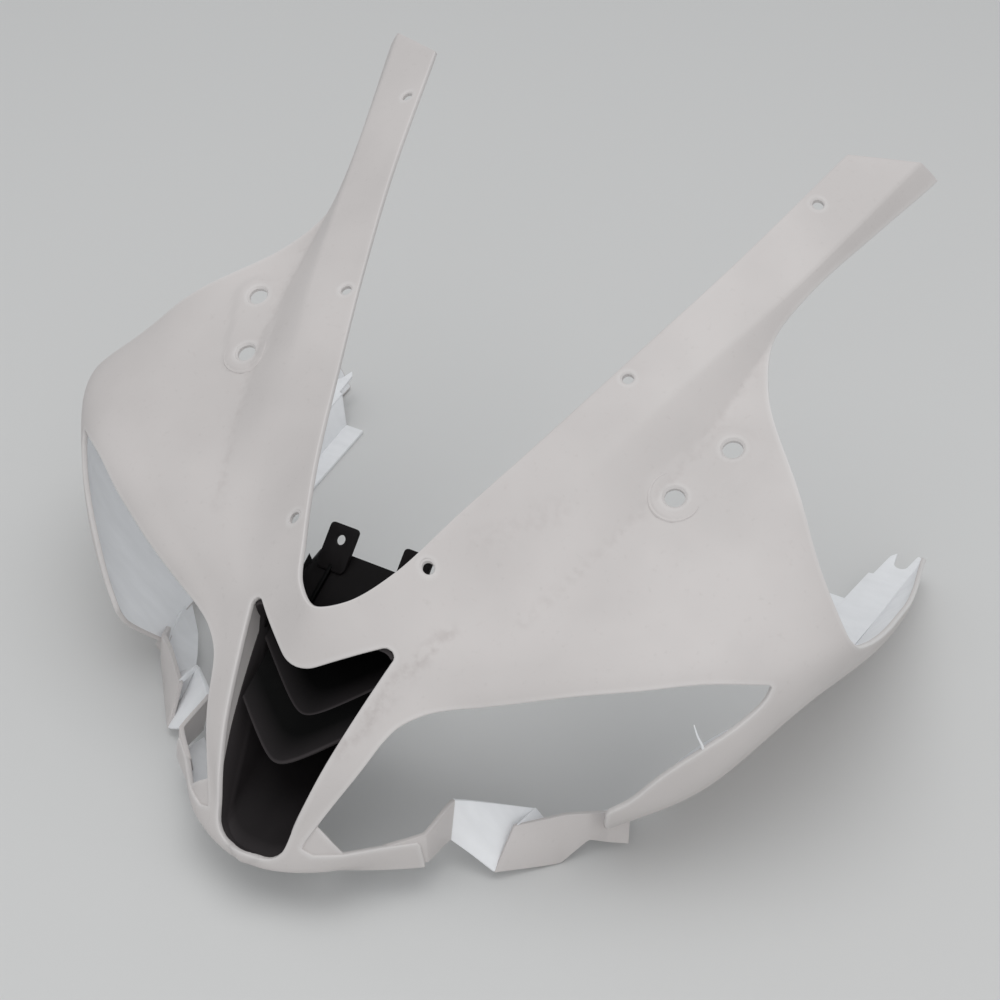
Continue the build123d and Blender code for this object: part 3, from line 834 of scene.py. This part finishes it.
def intake_return(nose):
    """Wall that turns in from one side of the intake opening, deepest at the tip."""
    outline = rounded(INTAKE, INTAKE_ROUND)
    tip = 2 * (len(outline) // len(INTAKE))
    low, high = outline[tip - 1], outline[tip]
    first = low + (high - low) * (RETURN_FROM - low[1]) / (high[1] - low[1])
    path = np.concatenate([np.linspace(first, high, 30), outline[tip + 1:tip + 6]])
    run = unit(np.gradient(path, axis=0))
    outer = path + np.column_stack([run[:, 1], -run[:, 0]]) * RETURN_WALL
    top = height_over(MOUTH, nose, path) - 1.0
    outer_top = height_over(MOUTH, nose, outer) - 1.0
    deep = top + 1.0 - return_depth(path[:, 1])
    rings = [[(*a, t), (*a, d), (*b, d), (*b, o)] for a, b, t, o, d in zip(path, outer, top, outer_top, deep)]
    return lofted("intake_return", [MOUTH.world(ring) for ring in rings], 0)


def flash_strand():
    """Thin strand of moulding flash left standing on the headlight edge."""
    line = soft(STRAND, [6] * (len(STRAND) - 1))
    size = np.linspace(0.9, 0.3, len(line))
    turns = np.linspace(0, 2 * math.pi, 8, endpoint=False)
    rings = [[p + r * np.array([math.cos(t), math.sin(t), 0.0]) for t in turns] for p, r in zip(line, size)]
    return lofted("flash", rings, 1)


def pad_bead(points):
    """Fine raised line round the front end of a mirror pad."""
    turns = np.linspace(0.35 * math.pi, 1.65 * math.pi, 60)
    path = np.column_stack([np.cos(turns), np.sin(turns)]) * PAD_RADIUS + np.array([-MIRROR_HALF, 0])
    square = np.column_stack([np.cos(turns), np.sin(turns)])
    top = height_over(PAD, points, path)
    size = PAD_BEAD * np.sin(np.linspace(0, math.pi, 60)) ** 0.5 + 0.02
    rings = []
    for p, q, t, r in zip(path, square, top, size):
        rings.append(PAD.world([(*(p - q * r * 1.6), t - 0.4), (*(p - q * r * 0.8), t + r * 0.3),
                                (*(p + q * r * 0.8), t + r * 0.3), (*(p + q * r * 1.6), t - 0.4)]))
    return lofted("pad_bead", rings, 0)


def hole_rim(name, flat, centre, radius, chamfer, points, wall):
    """Countersunk rim of a hole, light where the primer is rubbed off."""
    turns = np.linspace(0, 2 * math.pi, 40, endpoint=False)
    ring = np.column_stack([np.cos(turns), np.sin(turns)])
    top = height_over(flat, points, np.array(centre) + ring * (radius + chamfer))
    rings = []
    for reach, down in ((chamfer + 0.05, 0.1), (0.0, chamfer + 0.1), (0.0, wall), (chamfer + 1.0, wall - 0.1),
                        (chamfer + 1.0, 0.6)):
        rings.append(flat.world(np.column_stack([np.array(centre) + ring * (radius + reach), top - down])))
    return lofted(name, rings, 0, True, np.full(len(rings) * len(turns), RIM_MARK))


def filled(outline, corners, between):
    """Outline with more points along its straight sides."""
    out = []
    size = len(outline) // corners
    for i in range(corners):
        out += list(outline[i * size:(i + 1) * size])
        ahead = outline[((i + 1) * size) % len(outline)]
        last = outline[(i + 1) * size - 1]
        out += [last + (ahead - last) * k / (between + 1) for k in range(1, between + 1)]
    return np.array(out)


def inset_corners(corners, inset):
    """Four corners moved in by the same distance from their sides."""
    (a, low), (b, _), (c, high), (d, _) = corners
    return [(a + inset, low + inset), (b - inset, low + inset),
            (c - inset, high - inset), (d + inset, high - inset)]


def duct_tube(nose):
    """Hollow tube from the intake opening to the outlet, with its collar under the skin."""
    def mouth(inset, low_round):
        flat = rounded(inset_corners(DUCT_MOUTH, inset), [low_round] * 2 + [COLLAR_TOP_ROUND - inset] * 2)
        return filled(flat, 4, SIDE_FILL)

    def outlet(inset):
        low_round, top_round = DUCT_END_ROUND
        flat = rounded(inset_corners(DUCT_END, inset), [low_round - inset] * 2 + [top_round - inset] * 2)
        flat = filled(flat, 4, SIDE_FILL)
        return np.column_stack([flat[:, 0], np.full(len(flat), DUCT_END_Y), flat[:, 1]])

    def collar(flat, level):
        return MOUTH.world(np.column_stack([flat, np.broadcast_to(level, len(flat))]))

    outer = mouth(COLLAR_GAP - DUCT_WALL, COLLAR_ROUND + DUCT_WALL)
    inner = mouth(COLLAR_GAP, COLLAR_ROUND)
    heel_out = mouth(COLLAR_GAP - DUCT_WALL, HEEL_ROUND + DUCT_WALL)
    heel_in = mouth(HEEL_GAP, HEEL_ROUND)
    side = return_depth(inner[:, 1]) * np.clip((DUCT_MOUTH[2][1] - 1 - inner[:, 1]) / 8, 0, 1)
    edge = height_over(MOUTH, nose, inner) - np.maximum(side + 0.3, 3.3)
    heel = np.interp(heel_in[:, 1], DUCT_HEEL_RUN, DUCT_HEEL)
    top, low = collar(inner, edge), collar(heel_in, heel)
    rings = [collar(outer, edge - 0.8), collar(outer * 0.3 + inner * 0.7, edge)]
    rings += [top + (low - top) * k / 4 for k in range(5)]
    # These depths go to edge_mm: the duct material gives the mouth rings painted light and a painted
    # highlight and leaves the deeper rings black as painted shade; the outside, at 26, keeps part of the
    # painted light.
    deep = [0.0, 0.0] + [0.5 * k for k in range(5)]
    end_in, end_out, start_out = outlet(DUCT_WALL), outlet(0), collar(heel_out, heel)
    rings += [low + (end_in - low) * k / 10 for k in range(1, 11)]
    deep += [2.0 + 5.0 * k for k in range(1, 11)]
    rings += [end_out + (start_out - end_out) * k / 10 for k in range(11)]
    deep += [26.0] * 11
    return lofted("duct_tube", rings, 0, True, np.repeat(deep, len(inner)))


def duct_vane(point, level, reach):
    """Guide vane with a rounded lip, bent up at both sides."""
    across = np.linspace(-reach, reach, 49)
    up = point + np.hypot(across, VANE_ROUND) - VANE_ROUND
    lip = MOUTH.world(np.column_stack([across, up, np.full(len(across), level)]))
    run = unit(np.array([0, 0.92, 0.39]))
    back = lip + run * VANE_RUN
    back[:, 0] *= 1.1
    rise = unit(np.cross(np.gradient(lip, axis=0), run))
    rise *= np.sign(rise[:, 2:])
    turns = np.radians([90, 120, 150, 180, 210, 240, 270])
    rings = []
    for a, b, r in zip(lip, back, rise):
        ring = [a + run * VANE_BEAD * (1 + math.cos(t)) + r * VANE_BEAD * math.sin(t) for t in turns]
        rings.append(ring + [b - r * VANE_BEAD, b + r * VANE_BEAD])
    # The lip rings get depths 0 to 4, which the duct material paints with painted light and a painted
    # highlight; the back edge stays black.
    deep = np.tile([4.0, 2.0, 0.0, 0.0, 0.0, 2.0, 4.0, 2.5 * VANE_RUN, 2.5 * VANE_RUN], len(rings))
    return lofted("duct_vane", rings, 0, False, deep)


def eyelet(name, outline, centre, hole, levels):
    """Plate on the mouth plane with a round hole."""
    centre = np.array(centre)
    inner, outer = [], []
    for turn in np.linspace(0, 2 * math.pi, 48, endpoint=False):
        ray = np.array([math.cos(turn), math.sin(turn)])
        reach = 0.0
        for a, b in zip(outline, np.roll(outline, -1, axis=0)):
            side = b - a
            cross = ray[0] * side[1] - ray[1] * side[0]
            if abs(cross) > 1e-9:
                gap = a - centre
                along = (gap[0] * side[1] - gap[1] * side[0]) / cross
                share = (gap[0] * ray[1] - gap[1] * ray[0]) / cross
                if along > 0 and -1e-6 <= share <= 1 + 1e-6:
                    reach = max(reach, along)
        inner.append(centre + ray * hole / 2)
        outer.append(centre + ray * reach)
    rings = [[MOUTH.world(np.array([*p, n])) for p in flat]
             for flat, n in ((outer, levels[0]), (outer, levels[1]), (inner, levels[1]), (inner, levels[0]))]
    # The depth of 20 gives these plates about half of the duct's painted light.
    return lofted(name, rings, 0, True, np.full(4 * len(inner), 20.0))


class FAIRING_OT_shell(bpy.types.Operator):
    """Builds the primed shell with its walls, tails and returns"""

    bl_idname = "fairing.shell"
    bl_label = "Shell"

    def execute(self, context):
        sizes = context.scene.fairing_shell
        wall = sizes.wall / MM
        radius = sizes.edge / MM
        grid, out = skin_grid()
        flatted = grid.reshape(-1, 3)
        field = skin_left(flatted, sizes.mirror_hole / MM + 2 * MIRROR_CHAMFER,
                          sizes.screen_hole / MM + 2 * SCREEN_CHAMFER)
        pad = PAD.local(on_right(flatted))
        slot = np.hypot(np.maximum(np.abs(pad[:, 0]) - MIRROR_HALF, 0), pad[:, 1]) - PAD_RADIUS
        lift = np.clip((PAD_FADE[0] - slot) / PAD_FADE[1], 0, 1)
        lift = lift * lift * (3 - 2 * lift) * (np.abs(pad[:, 2]) < PAD_DEEP) * sizes.pad_raise / MM
        raised = grid + out * lift.reshape(grid.shape[:2])[..., None]
        skin = Sheet().trim(raised, out, field.reshape(grid.shape[:2]), radius, wall, radius)
        worn = np.array(skin.edge)
        rim = np.flatnonzero(worn <= RIM_MARK)
        behind = np.abs(notch_distance(on_right(np.array(skin.points)[rim]))) < WORN_REACH
        worn[rim[behind]] = WORN_EDGE
        spread = raised.reshape(-1, 3)
        rims = []
        pad_points = spread[(np.abs(PAD.local(spread)) < PAD_NEAR).all(axis=1)]
        for side in (-MIRROR_HALF, MIRROR_HALF):
            rims.append(hole_rim("mirror_rim", PAD, (side, 0), sizes.mirror_hole / MM / 2, MIRROR_CHAMFER,
                                 pad_points, wall))
        rims.append(pad_bead(pad_points))
        axis = (0, -math.sin(SCREEN_TILT), math.cos(SCREEN_TILT))
        for spot in SCREEN_HOLES:
            flat = Flat(spot, (1, 0, 0), axis)
            near = spread[(np.abs(flat.local(spread)) < SCREEN_NEAR).all(axis=1)]
            rims.append(hole_rim("screen_rim", flat, (0, 0), sizes.screen_hole / MM / 2, SCREEN_CHAMFER,
                                 near, wall))
        meshes = [mesh_of("skin", skin.points, skin.faces, skin.inner, worn, smudged(skin.points))]
        web_place = LAMP.local(on_right(flatted))
        web_field = -outline_distance(web_place[:, :2], LAMP.local(WEB_EDGE)[:, :2])
        off_middle = np.abs(web_place[:, 2] - sum(WEB_DEEP) / 2)
        web_field = np.minimum(web_field, (WEB_DEEP[1] - WEB_DEEP[0]) / 2 - off_middle)
        web = Sheet().trim(grid - out * WEB_RECESS, out, web_field.reshape(grid.shape[:2]), WEB_ROUND,
                           WEB_WALL, WEB_ROUND)
        meshes.append(mesh_of("web", web.points, web.faces, web.inner, web.edge))
        rim_wall = sizes.rim_wall / MM
        tail_wall = sizes.tail_wall / MM
        shelf_low, shelf_high = SHELF_UP - tail_wall / 2, SHELF_UP + tail_wall / 2
        wall_top = [(x, y, SHELF_UP) for x, y in SHELF_INNER]
        wall_foot = [(x, y, tail_wall / 2) for x, y in WALL_FOOT]
        flange = [(x + tail_wall / 2, y) for x, y in WALL_FOOT] + FLANGE_EDGE
        sides = [intake_return(nose_points(grid)),
                 finished(folded("fold", FOLD_TOP, FOLD_FOOT, rim_wall, [0, 0, 1]), [EASED]),
                 finished(folded("sill", SILL_TOP, SILL_FOOT, rim_wall, 0), [EASED]),
                 finished(folded("ledge", LEDGE_INNER, LEDGE_OUTER, rim_wall), [EASED]),
                 finished(folded("bar_flange", BAR_INNER, BAR_OUTER, rim_wall), [EASED]),
                 finished(folded("pocket", POCKET_TOP, POCKET_FOOT, rim_wall), [EASED]),
                 finished(plate("shelf", shelf_outline(tail_wall), shelf_low, shelf_high), [EASED]),
                 finished(folded("tail_wall", wall_top, wall_foot, tail_wall), [EASED]),
                 finished(plate("flange", flange, 0, tail_wall), [EASED])]
        for mesh in sides + rims:
            meshes += [mesh, mirrored(mesh)]
        meshes.append(flash_strand())
        for mesh in meshes[2:]:
            mesh.set_sharp_from_angle(angle=SHARP)
        materials = [sanded_primer(sizes.primer), bare_abs(sizes.bare)]
        piece = joined("fairing_shell_primed", meshes, materials)
        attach(piece, "root")
        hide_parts("fairing_shell")
        return {"FINISHED"}


class FAIRING_OT_duct(bpy.types.Operator):
    """Builds the intake duct with its vanes, lugs and tabs"""

    bl_idname = "fairing.duct"
    bl_label = "Intake duct"

    def execute(self, context):
        sizes = context.scene.fairing_duct
        meshes = [duct_tube(nose_points(skin_grid()[0]))]
        meshes += [duct_vane(*vane) for vane in VANES]
        spot, up = LUG_SPOT
        root = spot - LUG_LENGTH
        lug = rounded([(root, up - LUG_RADIUS), (spot + LUG_RADIUS, up - LUG_RADIUS),
                       (spot + LUG_RADIUS, up + LUG_RADIUS), (root, up + LUG_RADIUS)], LUG_ROUND)
        lug = eyelet("lug", lug, LUG_SPOT, LUG_HOLE, (LUG_SEAT - LUG_WALL, LUG_SEAT))
        tab = eyelet("tab", rounded(TAB, [TAB_ROUND] * 4), TAB_SPOT, TAB_HOLE, TAB_LEVEL)
        rib = [[(TAB_SPOT[0] + side * RIB_WALL / 2, y, z) for y, z in RIB] for side in (-1, 1)]
        rib = lofted("rib", rib, 0)
        for mesh in (lug, tab, rib):
            mesh = finished(mesh, [EASED])
            meshes += [mesh, mirrored(mesh)]
        for mesh in meshes:
            mesh.set_sharp_from_angle(angle=SHARP)
        piece = joined("intake_duct_black", meshes, [black_pp(sizes.black)])
        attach(piece, "root")
        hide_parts("intake_duct")
        return {"FINISHED"}


class FAIRING_OT_screws(bpy.types.Operator):
    """Sets a screw on each duct lug"""

    bl_idname = "fairing.screws"
    bl_label = "Duct screws"

    def execute(self, context):
        sizes = context.scene.fairing_duct
        steel = zinc_steel()
        tree = bpy.data.node_groups.new("lug_screws", "GeometryNodeTree")
        tree.interface.new_socket("Geometry", in_out="INPUT", socket_type="NodeSocketGeometry")
        values = {"Head": sizes.head / 2, "Head height": SCREW_HEAD_HEIGHT, "Shank": sizes.shank / 2,
                  "Shank length": SCREW_LENGTH, "Drive": DRIVE_RADIUS}
        keys = {}
        for name in values:
            socket = tree.interface.new_socket(name, in_out="INPUT", socket_type="NodeSocketFloat")
            keys[name] = socket.identifier
        tree.interface.new_socket("Geometry", in_out="OUTPUT", socket_type="NodeSocketGeometry")
        given = add_node(tree, "NodeGroupInput").outputs
        head = add_node(tree, "GeometryNodeMeshCylinder", None,
                        {"Vertices": 32, "Radius": given["Head"], "Depth": given["Head height"]})
        half = add_node(tree, "ShaderNodeMath", {"operation": "MULTIPLY"},
                        {0: given["Head height"], 1: -0.5})
        drop = add_node(tree, "ShaderNodeCombineXYZ", None, {"Z": half.outputs["Value"]})
        head = add_node(tree, "GeometryNodeTransform", None,
                        {"Geometry": head.outputs["Mesh"], "Translation": drop.outputs["Vector"]})
        shank = add_node(tree, "GeometryNodeMeshCylinder", None,
                         {"Vertices": 24, "Radius": given["Shank"], "Depth": given["Shank length"]})
        lift = add_node(tree, "ShaderNodeMath", {"operation": "MULTIPLY"},
                        {0: given["Shank length"], 1: 0.5})
        lift = add_node(tree, "ShaderNodeCombineXYZ", None, {"Z": lift.outputs["Value"]})
        shank = add_node(tree, "GeometryNodeTransform", None,
                         {"Geometry": shank.outputs["Mesh"], "Translation": lift.outputs["Vector"]})
        drive = add_node(tree, "GeometryNodeMeshCylinder", None,
                         {"Vertices": 6, "Radius": given["Drive"], "Depth": DRIVE_DEPTH})
        sunk = add_node(tree, "GeometryNodeTransform", None,
                        {"Geometry": drive.outputs["Mesh"], "Translation": (0, 0, -SCREW_HEAD_HEIGHT)})
        cut = add_node(tree, "GeometryNodeMeshBoolean", {"operation": "DIFFERENCE", "solver": "EXACT"},
                       {"Mesh 1": head.outputs["Geometry"], "Mesh 2": sunk.outputs["Geometry"]})
        screw = add_node(tree, "GeometryNodeJoinGeometry")
        tree.links.new(cut.outputs["Mesh"], screw.inputs["Geometry"])
        tree.links.new(shank.outputs["Geometry"], screw.inputs["Geometry"])
        turned = add_node(tree, "FunctionNodeAlignRotationToVector", {"axis": "Z"},
                          {"Vector": tuple(MOUTH.out)})
        placed = add_node(tree, "GeometryNodeInstanceOnPoints", None,
                          {"Points": given["Geometry"], "Instance": screw.outputs["Geometry"],
                           "Rotation": turned.outputs["Rotation"]})
        whole = add_node(tree, "GeometryNodeRealizeInstances", None,
                         {"Geometry": placed.outputs["Instances"]})
        steeled = add_node(tree, "GeometryNodeSetMaterial", None,
                           {"Geometry": whole.outputs["Geometry"], "Material": steel})
        add_node(tree, "NodeGroupOutput", None, {"Geometry": steeled.outputs["Geometry"]})
        level = LUG_SEAT - LUG_WALL
        spots = [MOUTH.world(np.array([side * LUG_SPOT[0], LUG_SPOT[1], level])) for side in (-1, 1)]
        mesh = bpy.data.meshes.new("duct_screws_zinc")
        mesh.from_pydata([tuple(p) for p in metres(spots)], [], [])
        maker = bpy.data.objects.new("lug_points", mesh)
        context.scene.collection.objects.link(maker)
        modifier = maker.modifiers.new("Screws", "NODES")
        modifier.node_group = tree
        for name, value in values.items():
            modifier[keys[name]] = value
        graph = context.evaluated_depsgraph_get()
        made = bpy.data.meshes.new_from_object(maker.evaluated_get(graph))
        bpy.data.objects.remove(maker)
        bpy.data.meshes.remove(mesh)
        made.name = "duct_screws_zinc"
        piece = bpy.data.objects.new("duct_screws_zinc", made)
        context.scene.collection.objects.link(piece)
        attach(piece, "root")
        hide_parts("duct_screws")
        return {"FINISHED"}


class FAIRING_OT_stage(bpy.types.Operator):
    """Adds the floor, the studio light and the camera"""

    bl_idname = "fairing.stage"
    bl_label = "Stage"

    def execute(self, context):
        sizes = context.scene.fairing_stage
        scene = context.scene
        scene.view_settings.view_transform = "Standard"
        mesh = bpy.data.meshes.new("floor")
        corners = [(x * FLOOR_HALF, y * FLOOR_HALF, 0) for x, y in ((-1, -1), (1, -1), (1, 1), (-1, 1))]
        mesh.from_pydata(corners, [], [(0, 1, 2, 3)])
        floor = bpy.data.objects.new("floor", mesh)
        scene.collection.objects.link(floor)
        material, tree = new_material("pale_floor")
        shader = add_node(tree, "ShaderNodeBsdfPrincipled", None,
                          {"Base Color": rgba(sizes.floor), "Roughness": 0.6})
        add_node(tree, "ShaderNodeOutputMaterial", None, {"Surface": shader.outputs["BSDF"]})
        mesh.materials.append(material)
        world = bpy.data.worlds.new("studio")
        scene.world = world
        world.use_nodes = True
        world.node_tree.nodes.clear()
        sky = add_node(world.node_tree, "ShaderNodeBackground", None,
                       {"Color": rgba(linear("#F4F6F8")), "Strength": SKY_LEVEL})
        add_node(world.node_tree, "ShaderNodeOutputWorld", None, {"Surface": sky.outputs["Background"]})
        for name, place, aim, size, watts in (KEY, FILL):
            lamp = bpy.data.lights.new(name, "AREA")
            lamp.shape = "DISK"
            lamp.size = size
            lamp.energy = watts
            light = bpy.data.objects.new(name, lamp)
            light.location = place
            light.rotation_euler = (Vector(aim) - Vector(place)).to_track_quat("-Z", "Y").to_euler()
            scene.collection.objects.link(light)
        view = bpy.data.cameras.new("camera")
        view.sensor_width = SENSOR
        view.lens = sizes.lens
        camera = bpy.data.objects.new("camera", view)
        camera.location = CAMERA_PLACE
        camera.rotation_euler = (math.radians(CAMERA_TILT), 0.0, math.radians(CAMERA_TURN))
        scene.collection.objects.link(camera)
        scene.camera = camera
        return {"FINISHED"}


class FAIRING_PT_panel(bpy.types.Panel):
    """Lists the steps that build the fairing"""

    bl_label = "Primed fairing"
    bl_idname = "FAIRING_PT_panel"
    bl_space_type = "VIEW_3D"
    bl_region_type = "UI"
    bl_category = "Fairing"

    def draw(self, context):
        for step in STEPS:
            self.layout.operator(step.bl_idname)
        for group in ("fairing_shell", "fairing_duct", "fairing_stage"):
            sizes = getattr(context.scene, group)
            for key in sizes.__annotations__:
                self.layout.prop(sizes, key)


STEPS = (FAIRING_OT_stage, FAIRING_OT_shell, FAIRING_OT_duct, FAIRING_OT_screws)
CLASSES = (ShellSizes, DuctSizes, StageSizes) + STEPS + (FAIRING_PT_panel,)


def register():
    for cls in CLASSES:
        bpy.utils.register_class(cls)
    bpy.types.Scene.fairing_shell = bpy.props.PointerProperty(type=ShellSizes)
    bpy.types.Scene.fairing_duct = bpy.props.PointerProperty(type=DuctSizes)
    bpy.types.Scene.fairing_stage = bpy.props.PointerProperty(type=StageSizes)


def unregister():
    del bpy.types.Scene.fairing_stage
    del bpy.types.Scene.fairing_duct
    del bpy.types.Scene.fairing_shell
    for cls in reversed(CLASSES):
        bpy.utils.unregister_class(cls)


def main():
    register()
    bpy.ops.fairing.stage()
    bpy.ops.fairing.shell()
    bpy.ops.fairing.duct()
    bpy.ops.fairing.screws()


if __name__ == "__main__":
    main()
